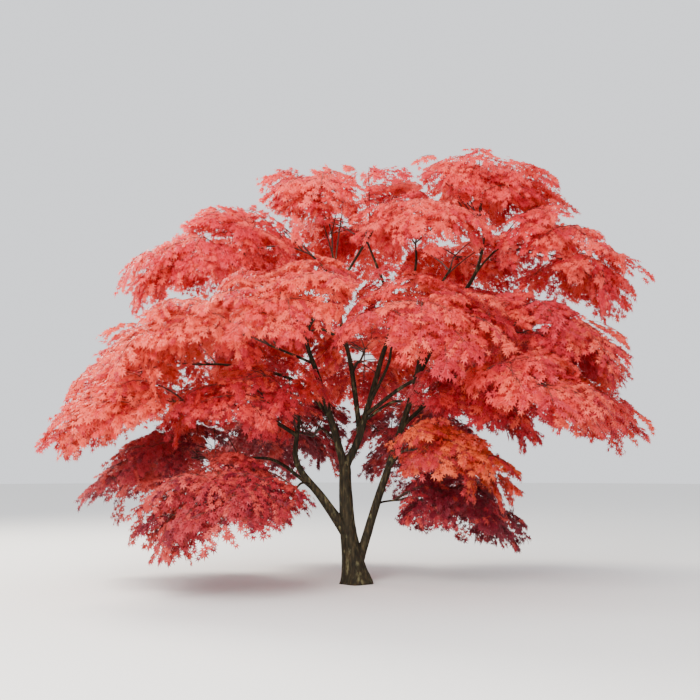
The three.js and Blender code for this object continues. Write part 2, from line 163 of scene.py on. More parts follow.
# %% [markdown]
# ## The skeleton
# Every limb of the solids is one row: which limb it leaves and how far along, its girth at
# the root, the places it passes, and the mass of foliage that it carries. A mass is a tilted
# dome: its middle, its half sizes along its heading, across it and up, the heading and the
# downward slope in degrees, and where the limb comes in (0 straight below, 1 inner end).
# The rows are in millimetres, as the solids' source has them.

# %% One row for each limb and its mass
MM = 0.001
Row = collections.namedtuple(
    "Row", "limb parent at base via mass centre half heading slope entry")
TRUNK_LINE = [(0, 0, 0), (-60, 0, 400), (-115, 0, 760), (-145, 0, 1250), (-150, 5, 1650)]
TRUNK_RADII = [150, 128, 104, 86, 76]
LIMBS = [
    Row("left_stem", "trunk", 0.42, 76, [(-440, -120, 1120), (-800, -290, 1640)],
        "left_inner", (-1600, -380, 2450), (1140, 920, 680), 185, 14, 0.75),
    Row("centre_left_stem", "trunk", 0.93, 54,
        [(-330, -50, 2170), (-520, -200, 2790), (-670, -400, 3250)],
        "front_left", (-860, -1450, 3600), (1140, 1120, 520), 250, 16, 0.75),
    Row("centre_right_stem", "trunk", 0.95, 56,
        [(30, 0, 1930), (150, 0, 2330), (340, 20, 3000), (500, 180, 3750)],
        "crown_centre", (160, 1200, 5190), (1020, 1420, 680), 90, 16, 0.6),
    Row("right_stem", "trunk", 0.07, 64,
        [(270, 80, 1040), (480, 150, 1650), (820, 250, 2680), (1080, 400, 3850)],
        "upper_right_back", (1560, 1300, 4800), (1020, 1120, 620), 75, 18, 0.5),
    Row("inner_rise", "centre_right_stem", 0.24, 38,
        [(-70, 200, 2980), (-210, 300, 3600), (-260, 400, 4310)],
        "top_left", (-450, 380, 5280), (1100, 1120, 740), 170, -3, 0.15),
    Row("top_right_bough", "right_stem", 0.62, 42, [(1330, 200, 3700), (1690, 100, 4280)],
        "top_right", (1740, 150, 5440), (1200, 1080, 700), 10, 1, -0.1),
    Row("long_left_bough", "centre_left_stem", 0.27, 30,
        [(-670, 100, 2600), (-1050, 200, 2840), (-1850, 350, 3000)],
        "left_outer", (-2980, 300, 2900), (1020, 1060, 580), 178, 34, 0.75),
    Row("left_shoulder_bough", "centre_left_stem", 0.76, None, [(-1100, -200, 3730)],
        "left_shoulder", (-2050, 60, 4545), (1260, 1050, 620), 182, 27, 0.3),
    Row("left_middle_bough", "centre_left_stem", 0.58, None, [(-860, -560, 3050)],
        "left_middle", (-1900, -1180, 3260), (1240, 1040, 640), 207, 20, 0.7),
    Row("left_reach_bough", "left_stem", 0.84, None, [(-1280, -560, 2260), (-1850, -780, 2400)],
        "left_outer_low", (-3040, -1020, 2320), (860, 860, 440), 195, 32, 0.75),
    Row("left_low_bough", "left_stem", 0.47, None, [(-720, -450, 1350)],
        "left_low_front", (-1680, -1000, 1050), (1030, 1060, 660), 196, 22, 0.97),
    Row("left_back_bough", "left_stem", 0.4, None, [(-1170, 180, 1660)],
        "left_low_back", (-2740, 740, 1600), (1080, 1000, 620), 170, 22, 0.85),
    Row("upper_left_bough", "inner_rise", 0.7, None, [(-520, 400, 4480)],
        "upper_left", (-1400, 850, 4800), (1180, 1020, 700), 150, 20, 0.7),
    Row("top_middle_bough", "inner_rise", 0.68, None, [(110, 300, 4720)],
        "top_middle", (520, 340, 5330), (1100, 1000, 560), 30, 5, 0.3),
    Row("upper_front_bough", "centre_right_stem", 0.7, None, [(820, 60, 4260)],
        "upper_front", (900, -480, 4880), (960, 880, 460), 275, 18, 0.6),
    Row("front_right_bough", "centre_right_stem", 0.42, None, [(440, -330, 2960)],
        "front_right", (800, -1480, 3380), (1220, 1180, 560), 292, 20, 0.75),
    Row("right_inner_bough", "centre_right_stem", 0.34, None, [(520, -90, 2450)],
        "right_inner", (1540, -380, 2440), (900, 840, 520), 345, 22, 0.75),
    Row("right_shoulder_bough", "top_right_bough", 0.66, None, [(1860, 60, 4480)],
        "right_shoulder", (2860, 50, 4440), (1060, 1030, 620), 2, 32, 0.85),
    Row("right_outer_bough", "top_right_bough", 0.42, None, [(1860, 350, 3790)],
        "right_outer", (2900, 700, 3260), (900, 1000, 520), 15, 34, 0.92),
    Row("right_middle_bough", "right_stem", 0.55, None, [(1300, 0, 3200)],
        "right_middle", (2480, -520, 3280), (1150, 1020, 480), 350, 24, 0.75),
    Row("right_reach_bough", "right_stem", 0.5, None, [(1200, 260, 2590), (1800, 290, 2790)],
        "right_outer_low", (3040, 320, 2520), (920, 920, 460), 5, 32, 0.88),
    Row("right_front_bough", "centre_right_stem", 0.38, None, [(820, -500, 2720)],
        "right_front", (2080, -1640, 2570), (980, 900, 360), 322, 26, 0.75),
    Row("right_low_bough", "right_stem", 0.36, None, [(560, -160, 1690)],
        "right_low_front", (1240, -620, 1680), (800, 760, 460), 345, 28, 0.85),
    Row("right_foot_bough", "right_stem", 0.2, None, [(380, 210, 1080)],
        "right_low_back", (1380, 420, 970), (920, 800, 520), 5, 20, 0.95),
    Row("back_left_bough", "inner_rise", 0.36, None, [(-480, 720, 3560)],
        "back_left", (-1480, 1750, 3560), (1220, 1200, 640), 128, 26, 0.7),
    Row("back_right_bough", "right_stem", 0.66, None, [(1230, 850, 3640)],
        "back_right", (1750, 1950, 3700), (1200, 1150, 560), 58, 26, 0.7),
    Row("back_centre_bough", "inner_rise", 0.22, None, [(20, 640, 3060), (80, 1130, 3160)],
        "back_centre", (150, 2380, 3240), (1060, 1200, 580), 90, 28, 0.85),
    Row("back_low_left_bough", "centre_left_stem", 0.14, None, [(-500, 600, 2110)],
        "back_low_left", (-1180, 1950, 1980), (1150, 1080, 680), 126, 22, 0.85),
    Row("back_low_right_bough", "right_stem", 0.34, None, [(570, 640, 1830)],
        "back_low_right", (960, 1900, 1880), (1150, 1080, 700), 56, 22, 0.85),
]
print("limbs beside the trunk:", len(LIMBS))

# %% [markdown]
# ## Vectors and draws
# A few helpers on whole arrays of vectors. The draw is the source's own: two numbers in, a
# share from 0 to 1 out, always the same, so a second run grows the same tree.

# %% Vector helpers
UP = np.array([0.0, 0.0, 1.0])
SHORTEST = 1e-12
RANDOM_SEED = 7
DRAW_WAVES = (12.9898, 78.233)
DRAW_SPREAD = 43758.5453

random = np.random.default_rng(RANDOM_SEED)


def unit(v):
    """Each vector divided by its length."""
    return v / np.maximum(np.linalg.norm(v, axis=-1, keepdims=True), SHORTEST)


def dot(a, b):
    """The dot products of two stacks of vectors, kept as a column."""
    return np.sum(a * b, axis=-1, keepdims=True)


def square_to(v, n):
    """Each v with its part along the unit vector n taken out, at unit length."""
    return unit(v - dot(v, n) * n)


def draw(seed, n):
    """The fraction left by a very large sine of the two numbers: a share from 0 to 1."""
    s = np.sin(seed * DRAW_WAVES[0] + n * DRAW_WAVES[1]) * DRAW_SPREAD
    return s - np.floor(s)


def mix(ends, share):
    """The value that lies that share of the way from the first end to the second."""
    return ends[0] + (ends[1] - ends[0]) * share


def between(low, high, *shape):
    """Random numbers from low to high, in an array of that shape."""
    return low + (high - low) * random.random(shape)


print("three draws:", draw(1, np.arange(3)).round(3))

# %% [markdown]
# ## Paths
# A limb runs smoothly through its places. Between two of them it is a cubic whose slope at
# each place is half the step between that place's neighbours, with the ends mirrored. A
# foliage stem is simpler: an arch from one place to another that leans towards a third.

# %% Smooth curve and arch
def smooth_curve(points, t):
    """Places on the smooth curve through points at the shares t of its whole run."""
    held = np.vstack([2 * points[0] - points[1], points, 2 * points[-1] - points[-2]])
    x = np.clip(t, 0.0, 1.0) * (len(points) - 1)
    i = np.minimum(x.astype(int), len(points) - 2)
    w = (x - i)[:, None]
    a, b, c, d = held[i], held[i + 1], held[i + 2], held[i + 3]
    slope_in, slope_out = (c - a) / 2, (d - b) / 2
    cubic = (2 * b - 2 * c + slope_in + slope_out) * w**3
    return cubic + (3 * c - 3 * b - 2 * slope_in - slope_out) * w**2 + slope_in * w + b


def arch(a, b, c, t):
    """Places on the arch from a to c that leans towards b: (1-t)^2 a + 2t(1-t) b + t^2 c."""
    t = np.asarray(t, float)[..., None]
    return (1 - t) ** 2 * a + 2 * t * (1 - t) * b + t**2 * c


trunk_line = np.array(TRUNK_LINE) * MM
print("half way along the trunk, metres:", smooth_curve(trunk_line, np.array([0.5])).round(3))

# %% [markdown]
# ## The space of a mass
# Each mass keeps to its own tilted dome. How far out a place lies is its distance from the
# middle with each of the dome's three ways divided by its half size: 0 in the middle, 1 on
# the rim. Leaves may hang out past the rim, but must lie nearer to their own dome than to
# any other, so neighbouring masses fill the crown between them and never mix.

# %% Domes as arrays, one line for each mass
# Shares of the half sizes: one of all three, or along the heading, across it and up
DOOR_DEPTH = 0.88
STEM_BEND = (-0.15, 0.0, 0.25)
STEM_END = (0.58, 0.0, 0.1)
FURTHEST = 1.35


def ways_of(row):
    """The dome's own three directions: out along its heading, across it, and up."""
    heading, slope = np.radians(row.heading), np.radians(row.slope)
    ch, sh, cs, ss = np.cos(heading), np.sin(heading), np.cos(slope), np.sin(slope)
    return [(ch * cs, sh * cs, -ss), (-sh, ch, 0.0), (ss * ch, ss * sh, cs)]


WAYS = np.array([ways_of(row) for row in LIMBS])
CENTRES = np.array([row.centre for row in LIMBS]) * MM
HALVES = np.array([row.half for row in LIMBS]) * MM


def dome_point(m, shares):
    """The place at given shares of the half sizes of mass m."""
    return CENTRES[m] + (np.asarray(shares) * HALVES[m]) @ WAYS[m]


def dome_shares(m, places):
    """The shares of the half sizes of mass m at which places lie."""
    return ((places - CENTRES[m]) @ WAYS[m].T) / HALVES[m]


def facing(m, places, levelling):
    """Out through the dome at each place, turned a share of the way towards straight up."""
    outward = unit(dome_shares(m, places) @ WAYS[m])
    return unit(outward * (1 - levelling) + UP * levelling)


def door_of(m):
    """Where the limb comes into mass m."""
    entry = LIMBS[m].entry
    return dome_point(m, (-DOOR_DEPTH * entry, 0.0, -DOOR_DEPTH * np.sqrt(1 - entry**2)))


def stem_of(m, t):
    """Places along the stem that carries the limb on into mass m."""
    return arch(door_of(m), dome_point(m, STEM_BEND), dome_point(m, STEM_END), t)


level_sizes = 2 * HALVES[:, :2]
print("domes, metres across:", level_sizes.min(), "to", level_sizes.max())

# %% [markdown]
# ## Limbs
# A limb leaves its parent's middle line, passes its places and ends at its dome's door. It
# keeps its girth a little longer than a cone would, and swells where it leaves its parent,
# as wood does around a fork. The trunk has its own girths, with a flared and ribbed foot.

# %% Path and radius of the trunk and of every limb
TIP_RADIUS = 0.013
SLENDER_BASE = 0.012  # with the next, the root radius where a row gives none
GIRTH_PER_LENGTH = 0.0085
TAPER_POWER = 0.85
COLLAR = 0.3  # the swelling at the root, as a share of the radius
COLLAR_REACH = 2  # how soon it fades, in root radii
STEM_AIM = 0.2  # the share of the stem that the end of a limb points at
LENGTH_MARKS = 21
TRUNK_LENGTH = 1.66
TRUNK_MARKS = 50
FOOT_FLARE = 0.52
FOOT_HEIGHT = 0.21
FOOT_RIBS = 5
FOOT_RIB_DEPTH = 0.1
CLOSING_SHARE = 0.07  # the last share of the trunk, which rounds off
CLOSING_DROP = 0.75


def trunk_path(t):
    """Places along the trunk's middle line."""
    return smooth_curve(trunk_line, np.ravel(t))


def trunk_radius(t, turn=0.0):
    """The bole's girth, wider and ribbed towards the ground, closing at the fork."""
    t = np.asarray(t, float)
    girths = np.array(TRUNK_RADII) * MM
    bole = np.interp(t, np.linspace(0, 1, len(girths)), girths)
    marks = np.linspace(0, 1, TRUNK_MARKS)
    height = np.interp(t, marks, trunk_path(marks)[:, 2])
    fade = np.exp(-height / FOOT_HEIGHT)
    ribs = 1 + FOOT_RIB_DEPTH * fade * np.cos(FOOT_RIBS * turn)
    over = np.maximum(0.0, t - (1 - CLOSING_SHARE)) / CLOSING_SHARE
    return bole * (1 + FOOT_FLARE * fade) * ribs * np.sqrt(1 - CLOSING_DROP * over**2)


Limb = collections.namedtuple("Limb", "name path radius length base")


def grow_limb(m, row, parent):
    """The limb of one row, as functions of the share of its run."""
    root = parent.path(np.array([row.at]))
    places = np.vstack([root, np.array(row.via) * MM, door_of(m)[None], stem_of(m, STEM_AIM)])
    # the last place lies on the stem and only aims the curve, which ends at the door before it
    used = (len(places) - 2) / (len(places) - 1)

    def path(t):
        return smooth_curve(places, np.ravel(t) * used)

    steps = np.diff(path(np.linspace(0, 1, LENGTH_MARKS)), axis=0)
    length = np.linalg.norm(steps, axis=1).sum()
    base = SLENDER_BASE + GIRTH_PER_LENGTH * length if row.base is None else row.base * MM

    def radius(t, turn=0.0):
        taper = TIP_RADIUS + (base - TIP_RADIUS) * (1 - t) ** TAPER_POWER
        return taper * (1 + COLLAR * np.exp(-t * length / (COLLAR_REACH * base)))

    return Limb(row.limb, path, radius, length, base)


limbs = {"trunk": Limb("trunk", trunk_path, trunk_radius, TRUNK_LENGTH, TRUNK_RADII[0] * MM)}
for m, row in enumerate(LIMBS):
    limbs[row.limb] = grow_limb(m, row, limbs[row.parent])
print("limb length in all, metres:", round(sum(limb.length for limb in limbs.values()), 1))

# %% [markdown]
# ## Keeping clear
# A twig or leaf is left out where it would leave its own dome, pass into a neighbour's, stand
# more than 0.1 m out of the solids' box, come too near a limb or hang down to the ground. All
# places of a mass are tested at once against all domes and against places along every limb.

# %% The test that every twig and leaf passes
WOOD_CLEARANCE = 0.02
WOOD_STEPS = 60
OWN_TIP = 0.9  # from this share on, a limb may be touched by its own mass
BOX_MARGIN = 0.1
GROUND_CLEARANCE = 0.36

wood_shares = np.linspace(0, 1, WOOD_STEPS)
wood_places = np.concatenate([limb.path(wood_shares) for limb in limbs.values()])
wood_radii = np.concatenate([limb.radius(wood_shares) for limb in limbs.values()])
wood_limb = np.repeat(np.arange(len(limbs)), WOOD_STEPS)
wood_share = np.tile(wood_shares, len(limbs))


def keeps_to(m, places, own_from=OWN_TIP):
    """True for each place in mass m's own space and clear of wood, its own limb's end apart."""
    away = places[:, None] - CENTRES[None]
    shares = np.einsum("nmi,mki->nmk", away, WAYS) / HALVES
    reach = np.linalg.norm(shares, axis=2)
    own = reach[:, m].copy()
    reach[:, m] = np.inf
    inside = (own <= FURTHEST) & (reach.min(axis=1) > own)
    in_box = np.all((places > LOWEST - BOX_MARGIN) & (places < HIGHEST + BOX_MARGIN), axis=1)
    off_ground = places[:, 2] > GROUND_CLEARANCE
    # the trunk is limb 0, so the limb that carries mass m is limb m + 1
    own_tip = (wood_limb == m + 1) & (wood_share > own_from)
    gaps = np.linalg.norm(places[:, None] - wood_places[None, ~own_tip], axis=2)
    clear = (gaps - wood_radii[None, ~own_tip]).min(axis=1) > WOOD_CLEARANCE
    return inside & in_box & off_ground & clear


print("places along the wood:", len(wood_places))

# %% [markdown]
# ## Twigs of a mass
# The stem arches through the dome, and further twigs leave it towards places spread evenly
# over the dome by the golden angle. A few thin forks leave the limb just before the dome and
# open to both sides of it, as a maple's boughs do. Each twig carries sprays: one at its end
# and pairs along it. A spray has a root, a way along, and a way that it faces. The solids'
# blades stand for the same sprays; here there are more of them and they are shorter, because
# each is real twigs.

# %% The sprays on one twig
SPRAY_SPREAD = np.radians(65)
SPRAY_LENGTH = 0.52
SHORTEST_SPRAY, SPRAY_RANGE = 0.8, 0.4
LEVELLING = (0.15, 0.75)  # how far the face turns to straight up, least and most
DROOP = 0.4  # how much of straight down is added to the way along
LOOK_BACK = 0.08  # the step back along the twig that gives this way
LENGTH_DRAW = 3

Spray = collections.namedtuple("Spray", "root along face length mass at")
Twig = collections.namedtuple("Twig", "path radii sprays")


def sprays_on(m, path, seed, pairs):
    """One spray at the twig's end, straight on, and pairs that turn away to both sides."""
    at = np.concatenate([[1.0], np.repeat(pairs, 2)])
    turn = np.concatenate([[0.0], np.tile([SPRAY_SPREAD, -SPRAY_SPREAD], len(pairs))])
    # the end spray is number 0 and the pairs go on from 2
    number = np.concatenate([[0.0], np.arange(2, 2 + 2 * len(pairs))])
    root = path(at)
    face = facing(m, root, mix(LEVELLING, draw(seed, number))[:, None])
    along = square_to(unit(root - path(at - LOOK_BACK)) - DROOP * UP, face)
    turned = along * np.cos(turn)[:, None] + np.cross(face, along) * np.sin(turn)[:, None]
    length = SPRAY_LENGTH * (SHORTEST_SPRAY + SPRAY_RANGE * draw(seed + number, LENGTH_DRAW))
    return Spray(root, turned, face, length, np.full(len(at), m), at)


print("shortest spray, metres:", round(SPRAY_LENGTH * SHORTEST_SPRAY, 3))

# %% Forks that leave the limb before its mass
MASS_SEEDS, TWIG_SEEDS, FORK_SEED = 100, 10, 57
BEND_RISE = 0.12
FORKS = 4
FORK_ROOTS = (0.8, 0.98)  # where the first and the last leave, as shares of the limb
FORK_OUT = (-0.75, 0.1)  # where they end, as shares of the dome's half sizes
FORK_ACROSS = 0.62
FORK_UP = 0.22
FORK_STRAY = 0.5
FORK_PAIRS = (0.85,)
FORK_RADII = (0.012, 0.005)
FORK_TESTS = np.array([0.35, 0.5, 0.75, 1.0])
LIMB_TOUCH = 0.6  # from this share on, a fork may touch its own limb
RISE_DRAW = 9


def rising(start, end):
    """An arch from start to end that leans up by a share of its length, as a function."""
    bend = (start + end) / 2 + UP * BEND_RISE * np.linalg.norm(end - start)
    return lambda t: arch(start, bend, end, t)


def grow_forks(m):
    """Thin branches that leave the limb just before mass m and open to both sides of it."""
    limb = limbs[LIMBS[m].limb]
    seed = (m + 1) * MASS_SEEDS + FORK_SEED
    forks = []
    for i in range(FORKS):
        share = (i + FORK_STRAY * draw(seed, i)) / (FORKS - 1)
        sideways = FORK_ACROSS if i % 2 else -FORK_ACROSS
        rise = FORK_UP * (1 + draw(seed, i + RISE_DRAW))
        end = dome_point(m, [mix(FORK_OUT, share), sideways, rise])
        root_share = mix(FORK_ROOTS, min(share, 1.0))
        path = rising(limb.path(np.array([root_share]))[0], end)
        if keeps_to(m, path(FORK_TESTS), LIMB_TOUCH).all():
            carried = sprays_on(m, path, seed + TWIG_SEEDS * (i + 1), FORK_PAIRS)
            forks.append(Twig(path, FORK_RADII, carried))
    return forks


print("forks of the first mass:", len(grow_forks(0)))

# %% The stem and shoots of every mass
SHOOTS_PER_AREA = 10.0
HIGHEST_SHOOT, LOWEST_SHOOT = 0.92, -0.25  # shares of the way up from the middle
SHOOT_REACHES = (0.66, 1.02)  # how far out they end, least and most: 1 is the rim
SHOOT_ROOT, SHOOT_ROOT_SWING = 0.36, 0.4  # where they leave the stem, further on if they head out
SHOOT_ROOT_LIMITS = (0.08, 0.8)
GOLDEN_TURN = np.pi * (3 - np.sqrt(5))
SEED_TURN = 2.4
STEM_PAIRS = (0.6, 0.82)
SHOOT_PAIRS = (0.5, 0.68, 0.85)
STEM_RADII = (0.013, 0.0065)
SHOOT_RADII = (0.0095, 0.0042)
SHOOT_TESTS = np.array([0.5, 0.75, 1.0])
REACH_DRAW = 5


def grow_twigs(m):
    """The stem of mass m and the shoots that leave it, with all their sprays."""
    seed = (m + 1) * MASS_SEEDS
    stem = functools.partial(stem_of, m)
    grown = [Twig(stem, STEM_RADII, sprays_on(m, stem, seed, STEM_PAIRS))]
    count = int(round(SHOOTS_PER_AREA * HALVES[m, 0] * HALVES[m, 1]))
    for i in range(count):
        height = HIGHEST_SHOOT + (LOWEST_SHOOT - HIGHEST_SHOOT) * (i + 0.5) / count
        ring = np.sqrt(1 - height**2)
        turn = i * GOLDEN_TURN + seed * SEED_TURN
        way = np.array([ring * np.cos(turn), ring * np.sin(turn), height])
        share = np.clip(SHOOT_ROOT + SHOOT_ROOT_SWING * way[0], *SHOOT_ROOT_LIMITS)
        shoot_seed = seed + TWIG_SEEDS * (i + 1)
        reach = mix(SHOOT_REACHES, draw(shoot_seed, REACH_DRAW))
        path = rising(stem_of(m, share), dome_point(m, reach * way))
        if keeps_to(m, path(SHOOT_TESTS)).all():
            carried = sprays_on(m, path, shoot_seed, SHOOT_PAIRS)
            grown.append(Twig(path, SHOOT_RADII, carried))
    return grown


twigs_of_all = [twig for m in range(len(LIMBS)) for twig in grow_twigs(m) + grow_forks(m)]
fields = zip(*(twig.sprays for twig in twigs_of_all))
sprays = Spray(*(np.concatenate(field) for field in fields))
SPRAYS = len(sprays.length)
sprays_each = [len(twig.sprays.at) for twig in twigs_of_all]
twig_of_spray = np.repeat(np.arange(len(twigs_of_all)), sprays_each)
print("stems, shoots and forks:", len(twigs_of_all), "sprays:", SPRAYS)

# %% [markdown]
# ## Inside a spray
# Maples branch in opposite pairs. A spray is an axis that arches over and hangs at its tip,
# with pairs of side twiglets that are longest just before the middle, so its outline is a
# broad fan. All sprays are worked out together: the arrays have one line for each spray and
# one column for each twiglet.

# %% The axes of all sprays
AXIS_ARCH = 0.07
AXIS_SAG = 0.16
SAG_SHARES = (0.6, 1.4)

axis_sag = AXIS_SAG * between(*SAG_SHARES, SPRAYS)
lift = unit(sprays.face)


def axis_place(u):
    """Places on every axis at the shares u: straight out, arched up, sagging with u squared."""
    u = np.broadcast_to(u, (SPRAYS, np.shape(u)[-1]))[..., None]
    length = sprays.length[:, None, None]
    out = u * sprays.along[:, None] + AXIS_ARCH * np.sin(np.pi * u) * lift[:, None]
    return sprays.root[:, None] + length * (out - axis_sag[:, None, None] * u**2 * UP)


print("sag of the tips, as shares:", axis_sag.min().round(3), "to", axis_sag.max().round(3))

# %% The side twiglets in opposite pairs
PAIRS = 6
FIRST_PAIR, PAIRS_RUN = 0.08, 0.86
PAIR_STRAY = (0.2, 0.8)
STEP_BACK = 0.05
HALF_WIDTH = 0.40
WIDEST, FAN_RUN = 0.42, 0.72  # where the fan is widest, and how far from there it closes
ROOT_ANGLE, TIP_ANGLE = np.radians(60), np.radians(36)
ANGLE_STRAY = 0.12
TWIGLET_DROP = (0.05, 0.4)
TWIGLET_STRAY = 0.1
TWIGLET_SHARES = (0.75, 1.15)

pair_step = np.arange(PAIRS) + between(*PAIR_STRAY, SPRAYS, PAIRS)
pair_at = FIRST_PAIR + PAIRS_RUN * pair_step / PAIRS
pair_place = axis_place(pair_at)
pair_along = unit(pair_place - axis_place(pair_at - STEP_BACK))

fullness = 1 - ((pair_at - WIDEST) / FAN_RUN) ** 2
angle = ROOT_ANGLE + (TIP_ANGLE - ROOT_ANGLE) * pair_at
reach = HALF_WIDTH * sprays.length[:, None] * fullness / np.sin(angle)

sign = np.array([1.0, -1.0])[:, None]
across = unit(np.cross(sprays.along, lift))[:, None, None]
shape = (SPRAYS, PAIRS, 2)
side_angle = (angle[..., None] + between(-ANGLE_STRAY, ANGLE_STRAY, *shape))[..., None]
side_way = np.cos(side_angle) * pair_along[:, :, None] + np.sin(side_angle) * sign * across
side_way = side_way - UP * between(*TWIGLET_DROP, *shape, 1)
side_way = unit(side_way + TWIGLET_STRAY * between(-1, 1, *shape, 3))
side_length = reach[..., None] * between(*TWIGLET_SHARES, *shape)
side_root = np.broadcast_to(pair_place[:, :, None], (*shape, 3))
print("side twiglets, metres:", side_length.min().round(3), "to", side_length.max().round(3))

# %% The twiglets that stay
TIP_FROM = 0.8
FEWEST_TWIGLETS = 4

tip_root, tip = axis_place(np.array([[TIP_FROM, 1.0]])).transpose(1, 0, 2)
spray_number = np.arange(SPRAYS)
twiglet = {
    "root": np.concatenate([side_root.reshape(-1, 3), tip_root]),
    "way": np.concatenate([side_way.reshape(-1, 3), unit(tip - tip_root)]),
    "length": np.concatenate([side_length.ravel(), np.linalg.norm(tip - tip_root, axis=1)]),
    "spray": np.concatenate([np.repeat(spray_number, 2 * PAIRS), spray_number]),
    "at": np.concatenate([np.repeat(pair_at.ravel(), 2), np.full(SPRAYS, TIP_FROM)]),
}


def kept(places, mass):
    """The keeping test for places that belong to different masses."""
    result = np.zeros(len(places), bool)
    for m in range(len(LIMBS)):
        mine = mass == m
        result[mine] = keeps_to(m, places[mine])
    return result


mass_of = sprays.mass[twiglet["spray"]]
run = twiglet["way"] * twiglet["length"][:, None]
good = kept(twiglet["root"] + run, mass_of) & kept(twiglet["root"] + run / 2, mass_of)
left_on_spray = np.bincount(twiglet["spray"][good], minlength=SPRAYS)
good &= left_on_spray[twiglet["spray"]] >= FEWEST_TWIGLETS
twiglet = {key: value[good] for key, value in twiglet.items()}

# An axis ends at its last twiglet, and a twig at its last spray that has any
axis_end = np.zeros(SPRAYS)
np.maximum.at(axis_end, twiglet["spray"], twiglet["at"])
leafy = axis_end > 0
twig_end = np.zeros(len(twigs_of_all))
np.maximum.at(twig_end, twig_of_spray[leafy], sprays.at[leafy])
print("twiglets kept:", good.sum(), "of", len(good), "twigs kept:", (twig_end > 0).sum())

# %% [markdown]
# ## Where the leaves sit
# Leaves come in opposite pairs along a twiglet, with one more at its end. They point forward
# and outward and hang a little, and each is turned by chance, so that some catch the light
# and others show their edge.

# %% Root, way, face and size of every leaf
NODES = 3
NODE_STRAY = (0.45, 0.95)
BARE_END = 0.35  # what a twiglet has beyond its steps from pair to pair, in steps
LEAF_FORWARD, LEAF_OUTWARD = 0.55, 0.85
LEAF_STRAY = 0.3
LEAF_DROP = (0.1, 0.75)
FACE_UP, FACE_STRAY = 0.3, 0.55  # what straight up and chance add to the way it faces
LEAF_LENGTH = 0.078
LEAF_SIZES = (0.7, 1.12)

count = len(twiglet["length"])
run = twiglet["way"] * twiglet["length"][:, None]
node_at = (np.arange(NODES) + between(*NODE_STRAY, count, NODES)) / (NODES + BARE_END)
node_place = twiglet["root"][:, None] + run[:, None] * node_at[..., None]
twiglet_end = twiglet["root"] + run
spray_face = sprays.face[twiglet["spray"]]
outward = unit(np.cross(spray_face, twiglet["way"]))

forward = LEAF_FORWARD * twiglet["way"][:, None, None]
pair_way = forward + LEAF_OUTWARD * sign * outward[:, None, None]
pair_way = np.broadcast_to(pair_way, (count, NODES, 2, 3))
pair_root = np.broadcast_to(node_place[:, :, None], (count, NODES, 2, 3))

leaf_root = np.concatenate([pair_root.reshape(-1, 3), twiglet_end])
leaf_way = np.concatenate([pair_way.reshape(-1, 3), twiglet["way"]])
leaf_twiglet = np.concatenate([np.repeat(np.arange(count), 2 * NODES), np.arange(count)])
leaf_spray = twiglet["spray"][leaf_twiglet]
total = len(leaf_root)
leaf_way = leaf_way + LEAF_STRAY * between(-1, 1, total, 3)
leaf_way = unit(leaf_way - UP * between(*LEAF_DROP, total, 1))
leaf_face = spray_face[leaf_twiglet] + FACE_UP * UP + FACE_STRAY * between(-1, 1, total, 3)
leaf_face = square_to(leaf_face, leaf_way)
leaf_size = LEAF_LENGTH * between(*LEAF_SIZES, total)

good = kept(leaf_root + leaf_way * leaf_size[:, None], sprays.mass[leaf_spray])
leaf_root, leaf_way, leaf_face = leaf_root[good], leaf_way[good], leaf_face[good]
leaf_size, leaf_spray, leaf_twiglet = leaf_size[good], leaf_spray[good], leaf_twiglet[good]
print("leaves kept:", good.sum(), "of", total)

# %% [markdown]
# ## Meshes from arrays
# One helper turns arrays of points and triangles into an object, and another bends a row of
# rings along many paths at once, each ending in a point as a twig does.

# %% Mesh helpers
NUDGE = 1e-4 * np.array([1.0, 0.3, 0.0])


def add_piece(name, points, corners, material, smooth=False):
    """An object made of points (n, 3) and triangles (m, 3), both set as whole arrays."""
    mesh = bpy.data.meshes.new(name)
    mesh.vertices.add(len(points))
    mesh.vertices.foreach_set("co", points.astype(np.float32).ravel())
    mesh.loops.add(corners.size)
    mesh.loops.foreach_set("vertex_index", corners.astype(np.int32).ravel())
    mesh.polygons.add(len(corners))
    mesh.polygons.foreach_set("loop_start", np.arange(0, corners.size, 3, dtype=np.int32))
    mesh.polygons.foreach_set("use_smooth", np.full(len(corners), smooth))
    mesh.update(calc_edges=True)
    mesh.materials.append(material)
    piece = bpy.data.objects.new(name, mesh)
    bpy.context.scene.collection.objects.link(piece)
    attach(piece, "root")
    return piece


def ring_turns(sides):
    """The turns of a ring's corners, in radians, evenly round the circle."""
    return 2 * np.pi * np.arange(sides) / sides


def spokes(along, level, turn):
    """Ways out from each place of a path: cos(turn) of its level side, sin(turn) of the upper."""
    side = square_to(np.broadcast_to(level, along.shape), along)
    over = np.cross(along, side)
    return side[..., None, :] * np.cos(turn)[:, None] + over[..., None, :] * np.sin(turn)[:, None]


